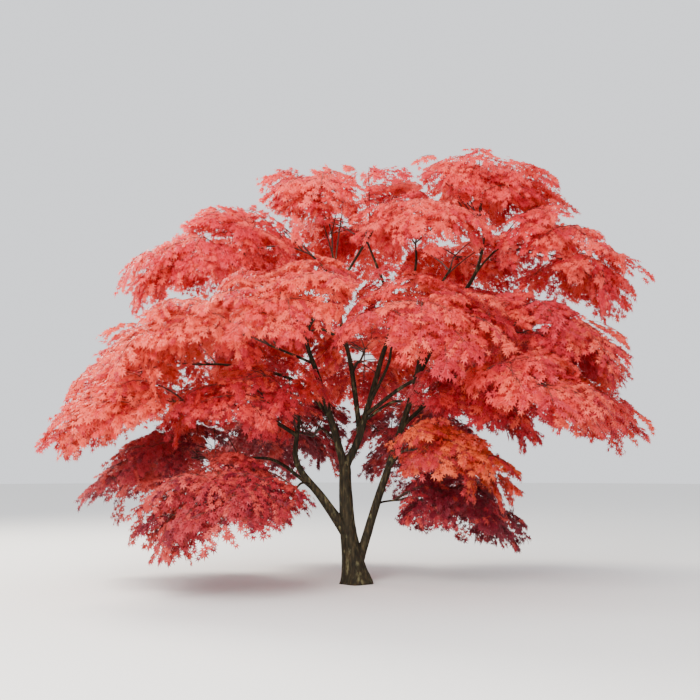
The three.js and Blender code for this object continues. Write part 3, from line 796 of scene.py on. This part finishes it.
def tapered_twigs(paths, radii, sides):
    """Closed twigs on many paths (n, stations, 3): rings that shrink and end in a point."""
    n, stations = paths.shape[:2]
    rings = stations - 1
    along = unit(np.gradient(paths, axis=1))
    # the nudge keeps the level side from vanishing on an upright twig
    level = unit(np.cross(paths[:, -1] - paths[:, 0], UP) + NUDGE)
    spoke = spokes(along[:, :rings], level[:, None], ring_turns(sides))
    ring_points = paths[:, :rings, None] + radii[:, :rings, None, None] * spoke
    points = np.concatenate([ring_points.reshape(n, -1, 3), paths[:, -1:]], axis=1)
    k = np.arange(sides)
    after = (k + 1) % sides
    faces = []
    for ring in range(rings - 1):
        low, high = ring * sides, (ring + 1) * sides
        faces.append(np.stack([low + k, low + after, high + after], axis=1))
        faces.append(np.stack([low + k, high + after, high + k], axis=1))
    last = (rings - 1) * sides
    faces.append(np.stack([last + k, last + after, np.full(sides, rings * sides)], axis=1))
    faces.append(np.stack([np.zeros(sides - 2, int), k[2:], k[1:-1]], axis=1))
    offset = np.arange(n)[:, None, None] * points.shape[1]
    return points.reshape(-1, 3), (np.concatenate(faces)[None] + offset).reshape(-1, 3)


def joined(parts):
    """Several (points, triangles) as one, with the triangles' numbers moved on."""
    offsets = np.cumsum([0] + [len(points) for points, _ in parts[:-1]])
    points = np.concatenate([points for points, _ in parts])
    corners = np.concatenate([corners + offset for (_, corners), offset in zip(parts, offsets)])
    return points, corners


one_twig = tapered_twigs(np.array([[[0, 0, 0], [1, 0, 0], [2, 0, 0]]]), np.ones((1, 3)), 6)
print("triangles of a six-sided twig with three stations:", len(one_twig[1]))

# %% [markdown]
# ## Finishes
# Bark on this kind is smooth and thin: dark olive brown, with long shallow furrows and pale
# crusts of lichen. Noise on the object's own coordinates, stretched along the height, gives
# both. Leaves have plain colours: each spray takes one tint, as whole twigs turn together in
# autumn. A share of the light passes through a leaf, so its shader mixes in translucence. The
# light that comes through is a little paler than the leaf's face, which keeps the shade
# inside the crown rosy.

# %% Colour and noise helpers
def linear(colour):
    """A colour of 0 to 255 as shown on screen, turned into the shader's linear values."""
    c = np.array(colour) / 255
    return tuple(np.where(c <= 0.04045, c / 12.92, ((c + 0.055) / 1.055) ** 2.4))


def colour_ramp(nodes, stops):
    """A ramp node with colours at the given places."""
    ramp = nodes.new("ShaderNodeValToRGB")
    ends = ramp.color_ramp.elements
    while len(ends) < len(stops):
        ends.new(0.5)
    for element, (place, colour) in zip(ends, stops):
        element.position = place
        element.color = (*linear(colour), 1.0)
    return ramp


def noise(nodes, links, source, scale, detail, stretch=1.0):
    """A noise node on the object's coordinates, drawn out along the height by stretch."""
    mapping = nodes.new("ShaderNodeMapping")
    mapping.inputs["Scale"].default_value = (1.0, 1.0, 1.0 / stretch)
    links.new(source, mapping.inputs["Vector"])
    made = nodes.new("ShaderNodeTexNoise")
    made.inputs["Scale"].default_value = scale
    made.inputs["Detail"].default_value = detail
    links.new(mapping.outputs["Vector"], made.inputs["Vector"])
    return made


print("middle grey as a shader value:", np.round(linear((128, 128, 128)), 3))

# %% Bark, with lichen
STREAKS = {"scale": 34.0, "detail": 6.0, "stretch": 5.0}
BARK_STOPS = [(0.3, (18, 14, 7)), (0.52, (38, 32, 18)), (0.74, (70, 60, 38))]
PATCHES = {"scale": 13.0, "detail": 7.0, "stretch": 2.2}
CRUST_STOPS = [(0.58, (0, 0, 0)), (0.72, (215, 215, 215))]
LICHEN = (120, 114, 80)
BARK_ROUGHNESS, BARK_SPECULAR = 0.85, 0.25
BUMP_STRENGTH, BUMP_DEPTH = 0.6, 0.004
MIX_FIRST, MIX_SECOND, MIX_RESULT = 6, 7, 2  # the colour sockets of a Mix node


def bark_material():
    """Olive-brown bark: broad and streaky colour, lichen where a coarse noise is high."""
    material, shader = principled("bark")
    nodes, links = material.node_tree.nodes, material.node_tree.links
    place = nodes.new("ShaderNodeTexCoord").outputs["Object"]
    streaks = noise(nodes, links, place, **STREAKS)
    wood = colour_ramp(nodes, BARK_STOPS)
    links.new(streaks.outputs["Fac"], wood.inputs["Fac"])
    patches = noise(nodes, links, place, **PATCHES)
    crust = colour_ramp(nodes, CRUST_STOPS)
    links.new(patches.outputs["Fac"], crust.inputs["Fac"])
    crusted = nodes.new("ShaderNodeMix")
    crusted.data_type = "RGBA"
    links.new(crust.outputs["Color"], crusted.inputs["Factor"])
    links.new(wood.outputs["Color"], crusted.inputs[MIX_FIRST])
    crusted.inputs[MIX_SECOND].default_value = (*linear(LICHEN), 1.0)
    links.new(crusted.outputs[MIX_RESULT], shader.inputs["Base Color"])
    shader.inputs["Roughness"].default_value = BARK_ROUGHNESS
    shader.inputs["Specular IOR Level"].default_value = BARK_SPECULAR
    bump = nodes.new("ShaderNodeBump")
    bump.inputs["Strength"].default_value = BUMP_STRENGTH
    bump.inputs["Distance"].default_value = BUMP_DEPTH
    links.new(streaks.outputs["Fac"], bump.inputs["Height"])
    links.new(bump.outputs["Normal"], shader.inputs["Normal"])
    return material


BARK = bark_material()
print("nodes of the bark:", len(BARK.node_tree.nodes))

# %% Rind of the twigs
RIND_STREAKS = {"scale": 20.0, "detail": 4.0}
RIND_STOPS = [(0.35, (44, 26, 20)), (0.7, (88, 56, 42))]
RIND_ROUGHNESS = 0.7


def twig_material():
    """Thin dark red-brown rind, a little lighter in streaks."""
    material, shader = principled("twigs")
    nodes, links = material.node_tree.nodes, material.node_tree.links
    place = nodes.new("ShaderNodeTexCoord").outputs["Object"]
    streaks = noise(nodes, links, place, **RIND_STREAKS)
    rind = colour_ramp(nodes, RIND_STOPS)
    links.new(streaks.outputs["Fac"], rind.inputs["Fac"])
    links.new(rind.outputs["Color"], shader.inputs["Base Color"])
    shader.inputs["Roughness"].default_value = RIND_ROUGHNESS
    return material


TWIG = twig_material()
print("nodes of the rind:", len(TWIG.node_tree.nodes))

# %% A leaf that lets light through
LEAF_ROUGHNESS, LEAF_SPECULAR = 0.5, 0.35
THROUGH_LIGHT = 0.45
PALER_THROUGH = (0.0, 0.09, 0.09)


def leaf_material(name, colour):
    """A plain leaf colour with a share of light let through."""
    material, shader = principled(name)
    nodes, links = material.node_tree.nodes, material.node_tree.links
    shader.inputs["Base Color"].default_value = (*linear(colour), 1.0)
    shader.inputs["Roughness"].default_value = LEAF_ROUGHNESS
    shader.inputs["Specular IOR Level"].default_value = LEAF_SPECULAR
    through = nodes.new("ShaderNodeBsdfTranslucent")
    through.inputs["Color"].default_value = (*np.add(linear(colour), PALER_THROUGH), 1.0)
    both = nodes.new("ShaderNodeMixShader")
    both.inputs["Fac"].default_value = THROUGH_LIGHT
    links.new(shader.outputs["BSDF"], both.inputs[1])
    links.new(through.outputs["BSDF"], both.inputs[2])
    links.new(both.outputs["Shader"], nodes["Material Output"].inputs["Surface"])
    return material


print("share of the light that a leaf lets through:", THROUGH_LIGHT)

# %% [markdown]
# ## Bark with relief
# The bark is a profile carried along each limb: at every ring, a circle whose radius rises
# and falls with long flutes, shallow furrows and a few swellings. Waves with a whole number
# of turns around the limb meet themselves again, so the seam closes without a step.

# %% The relief of bark
# Depths are shares of the radius, and waves along the run are in radians for each metre
DRIFTS, DRIFT_WAVES, FURROW_DRIFT = (0.7, 0.5), (2.1, 5.3), 1.5
FLUTE_DEPTHS, FLUTES = (0.030, 0.022), (3, 5)
FURROW_DEPTH, FURROW_TURNS, FURROW_SWAY, FURROW_WAVE = 0.018, 9, 6, 3.1
KNOT_DEPTH, KNOT_WAVE, KNOT_POWER, KNOT_TURN = 0.035, 9.0, 8, 1.7
RIDGE_DEPTH, RIDGES, RIDGE_SWAY, RIDGE_WAVES = 0.008, 13, 9, (11.0, 47.0)


def relief(turn, run, radius, seed):
    """The radius times one plus waves around and along, with their phases drifting."""
    drift = DRIFTS[0] * np.sin(run * DRIFT_WAVES[0] + seed)
    drift = drift + DRIFTS[1] * np.sin(run * DRIFT_WAVES[1] + 2 * seed)
    flutes = FLUTE_DEPTHS[0] * np.sin(FLUTES[0] * turn + drift + seed)
    flutes = flutes + FLUTE_DEPTHS[1] * np.sin(FLUTES[1] * turn - 2 * drift)
    sway = FURROW_SWAY * np.sin(run * FURROW_WAVE)
    furrows = FURROW_DEPTH * np.abs(np.sin(FURROW_TURNS * turn + FURROW_DRIFT * drift + sway))
    knot_side = (1 + np.cos(turn - seed * KNOT_TURN)) / 2
    knots = KNOT_DEPTH * np.sin(run * KNOT_WAVE + seed) ** KNOT_POWER * knot_side
    ridge = np.sin(RIDGES * turn + RIDGE_SWAY * np.sin(run * RIDGE_WAVES[0] + seed))
    fine = RIDGE_DEPTH * ridge * np.sin(run * RIDGE_WAVES[1])
    return radius * (1 + flutes + furrows + knots + fine)


half_turn = relief(np.array([0.0, np.pi]), 1.0, 0.1, 0.0)
print("radius of a 0.1 m limb on two sides:", half_turn.round(4))

# %% Trunk and limbs as closed skins
RING_STEP, FEWEST_RINGS = 0.022, 24
SIDE_STEP, SIDE_LIMITS = 0.018, (12, 52)
FIRST_RELIEF, NEXT_RELIEF = 0.7, 1.3


def limb_surface(limb, seed):
    """A closed skin on the limb's path, with a flat cap at each end."""
    rings = max(FEWEST_RINGS, int(limb.length / RING_STEP))
    sides = int(np.clip(2 * np.pi * limb.base / SIDE_STEP, *SIDE_LIMITS))
    t = np.linspace(0, 1, rings)
    place = limb.path(t)
    along = unit(np.gradient(place, axis=0))
    if limb.name == "trunk":
        along[0] = UP
    turn = ring_turns(sides)
    spoke = spokes(along, unit(np.cross(UP, place[-1] - place[0])), turn)
    even = limb.radius(t[:, None], turn[None])
    wide = relief(turn[None], (t * limb.length)[:, None], even, seed)
    points = place[:, None] + wide[..., None] * spoke
    points[..., 2] = np.maximum(points[..., 2], 0.0)
    if limb.name == "trunk":
        points[0, :, 2] = 0.0
    points = np.concatenate([points.reshape(-1, 3), place[:1], place[-1:]])
    k = np.arange(rings * sides).reshape(rings, sides)
    low, low_next = k[:-1], np.roll(k[:-1], -1, axis=1)
    high, high_next = k[1:], np.roll(k[1:], -1, axis=1)
    foot, top = rings * sides, rings * sides + 1
    faces = [
        np.stack([low, low_next, high_next], axis=-1).reshape(-1, 3),
        np.stack([low, high_next, high], axis=-1).reshape(-1, 3),
        np.stack([np.roll(k[0], -1), k[0], np.full(sides, foot)], axis=-1),
        np.stack([k[-1], np.roll(k[-1], -1), np.full(sides, top)], axis=-1),
    ]
    return points, np.concatenate(faces)


triangles = {}
for number, (name, limb) in enumerate(limbs.items()):
    points, corners = limb_surface(limb, FIRST_RELIEF + number * NEXT_RELIEF)
    piece = add_piece(f"bark_{name}", points, corners, BARK, smooth=True)
    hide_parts(name)
    triangles[piece.name] = len(corners)
print("bark triangles:", sum(triangles.values()))

# %% [markdown]
# ## Twigs
# Stems, shoots and forks have six sides, the axes of the sprays and the twiglets three, all
# in one joined piece. Every one starts inside the wood that carries it, and ends at the last
# spray that has leaves, so that no bare twig stands out of the crown.

# %% The joined twigs
TWIG_SIDES, FINE_SIDES = 6, 3
STATIONS, AXIS_STATIONS = 7, 4
AXIS_RADII = (0.0045, 0.002)
TWIGLET_RADIUS = 0.002


def shrinking(radii, n, stations):
    """Radii that go evenly from the first to the second along each of n paths."""
    return np.tile(np.linspace(*radii, stations), (n, 1))


leafy_twigs = [(twig, end) for twig, end in zip(twigs_of_all, twig_end) if end > 0]
paths = np.array([twig.path(np.linspace(0, end, STATIONS)) for twig, end in leafy_twigs])
radii = np.array([np.linspace(*twig.radii, STATIONS) for twig, _ in leafy_twigs])
axes = axis_place(np.linspace(0, 1, AXIS_STATIONS)[None] * axis_end[:, None])[leafy]
lines = np.stack([twiglet["root"], twiglet_end], axis=1)
points, corners = joined([
    tapered_twigs(paths, radii, TWIG_SIDES),
    tapered_twigs(axes, shrinking(AXIS_RADII, len(axes), AXIS_STATIONS), FINE_SIDES),
    tapered_twigs(lines, np.full((len(lines), 2), TWIGLET_RADIUS), FINE_SIDES),
])
twigs = add_piece("twigs", points, corners, TWIG)
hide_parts(*[f"foliage_{row.mass}" for row in LIMBS])
triangles["twigs"] = len(corners)
print("twig triangles:", len(corners))

# %% [markdown]
# ## Leaves
# A leaf has five narrow pointed lobes that spread like fingers, the middle one longest, and
# deep bays between them. A lobe is one triangle that starts just ahead of the leaf's root, so
# that the lobes overlap there as the palm of the leaf. Lobes bend down at their tips, so no
# leaf is flat. The outline is worked out once and set down at every leaf's root.

# %% Outline of one leaf
LOBE_TURNS = np.radians([-84, -41, 0, 41, 84])
LOBE_LENGTHS = np.array([0.62, 0.9, 1.0, 0.9, 0.62])
LOBES = len(LOBE_TURNS)
LOBE_WIDTH = 0.36
LOBE_BEND = 0.2
PALM = 0.1  # how far ahead of the root the lobes start, at their widest

lobe_way = np.stack([np.cos(LOBE_TURNS), np.sin(LOBE_TURNS), np.zeros(LOBES)], axis=1)
lobe_across = np.stack([-np.sin(LOBE_TURNS), np.cos(LOBE_TURNS), np.zeros(LOBES)], axis=1)
lobe_tip = lobe_way * LOBE_LENGTHS[:, None] - [0.0, 0.0, LOBE_BEND] * LOBE_LENGTHS[:, None] ** 2
lobe_sides = [PALM * lobe_way + side * LOBE_WIDTH / 2 * lobe_across for side in (-1, 1)]
LEAF = np.stack([lobe_sides[0], lobe_sides[1], lobe_tip], axis=1).reshape(-1, 3)
LEAF_FACES = np.array([[0, 1, 2]]) + 3 * np.arange(LOBES)[:, None]


def leaves(which):
    """Points and triangles of the chosen leaves: root plus size times the outline in its ways."""
    way, face = leaf_way[which], leaf_face[which]
    own = np.stack([way, np.cross(face, way), face], axis=1)
    points = leaf_root[which][:, None] + leaf_size[which][:, None, None] * (LEAF[None] @ own)
    offset = np.arange(len(way))[:, None, None] * len(LEAF)
    return points.reshape(-1, 3), (LEAF_FACES[None] + offset).reshape(-1, 3)


print("triangles of a leaf:", len(LEAF_FACES))

# %% [markdown]
# ## Autumn tints
# Sunlit tops have turned coral, the middle tiers scarlet, the low ones crimson, and one low
# tier on the right orange. Every slot has a pale, a middle and a deep tint. A spray takes one
# of them, paler on top of its dome and deeper below as painted light and painted shade, and
# some of its side sprays take another.

# %% A tint for every spray and side spray
TINTS = {
    "leaves_coral": {
        "rose": (244, 93, 82), "coral": (236, 68, 69), "poppy": (221, 43, 62)},
    "leaves_scarlet": {
        "red": (238, 91, 72), "scarlet": (226, 60, 59), "carmine": (204, 39, 56)},
    "leaves_crimson": {
        "cherry": (206, 70, 65), "crimson": (180, 41, 54), "garnet": (136, 23, 43)},
    "leaves_orange": {
        "amber": (230, 96, 54), "orange": (216, 69, 50), "vermilion": (194, 44, 52)},
}
# How much paler than its neighbours a mass is, in the same measure as the paleness below.
# On left_middle, which lies in the shade of the masses above it, this is painted light, and on
# left_inner, right_inner and the three low back masses it is painted shade.
PALER_WITH_PAINTED_LIGHT = {
    "left_middle": 0.5, "left_outer": 0.2, "left_outer_low": 0.2, "left_inner": -0.3,
    "front_right": -0.15, "right_inner": -0.6, "right_middle": -0.2, "right_outer": -0.2,
    "right_low_back": -0.8, "back_low_left": -0.3, "back_low_right": -0.3}
# Painted light and shade: a spray high in its dome is made paler and one low in it deeper, as
# light falls on the tops
PAINTED_TOP_LIGHT = 0.45  # what a spray's height in its dome adds to its paleness
SIDE_SPRAYS = 0.35  # the share of twiglets that take another tint
PALE_DRAW, TINT_DRAW, CHANGE_DRAW = 11, 5, 9

slot_of_node = {part["node"]: part["material_slot"] for part in frame["record"]["subparts"]}
mass_slot = np.array([slot_of_node[f"foliage_{row.mass}"] for row in LIMBS])
# Each mass's shift, with painted light on left_middle and painted shade on the inner and low back
# masses
mass_paler_with_painted_light = np.array([PALER_WITH_PAINTED_LIGHT.get(row.mass, 0.0) for row in LIMBS])

height_in_dome = np.zeros(SPRAYS)
for m in range(len(LIMBS)):
    mine = sprays.mass == m
    height_in_dome[mine] = dome_shares(m, sprays.root[mine])[:, 2]
# A spray's paleness is a chance draw for its own tint, plus painted light high in its dome and
# painted shade low in it, plus its mass's shift
paleness_with_painted_light = draw(spray_number, PALE_DRAW) + PAINTED_TOP_LIGHT * height_in_dome + mass_paler_with_painted_light[sprays.mass]

spray_tint = np.zeros(SPRAYS, int)
for slot in TINTS:
    in_slot = mass_slot[sprays.mass] == slot
    deep, pale = np.quantile(paleness_with_painted_light[in_slot], [1 / 3, 2 / 3])
    spray_tint[in_slot] = (paleness_with_painted_light[in_slot] < pale).astype(int) + (paleness_with_painted_light[in_slot] < deep)
twiglet_number = np.arange(len(twiglet["length"]))
other_tint = np.floor(3 * draw(twiglet_number, TINT_DRAW)).astype(int)
changed = draw(twiglet_number, CHANGE_DRAW) < SIDE_SPRAYS
twiglet_tint = np.where(changed, other_tint, spray_tint[twiglet["spray"]])
print("sprays of each tint, pale to deep:", np.bincount(spray_tint))

# %% Leaves by tint
for slot, tints in TINTS.items():
    nodes_here = [
        f"foliage_{row.mass}" for row in LIMBS if slot_of_node[f"foliage_{row.mass}"] == slot]
    in_slot = mass_slot[sprays.mass[leaf_spray]] == slot
    for number, (tint, colour) in enumerate(tints.items()):
        points, corners = leaves(in_slot & (twiglet_tint[leaf_twiglet] == number))
        material = leaf_material(f"leaf_{tint}", colour)
        piece = add_piece(f"leaves_{tint}", points, corners, material)
        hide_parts(*nodes_here)
        triangles[piece.name] = len(corners)
print("triangles by piece:", {k: v for k, v in triangles.items() if not k.startswith("bark")})
print("triangles in all:", sum(triangles.values()))
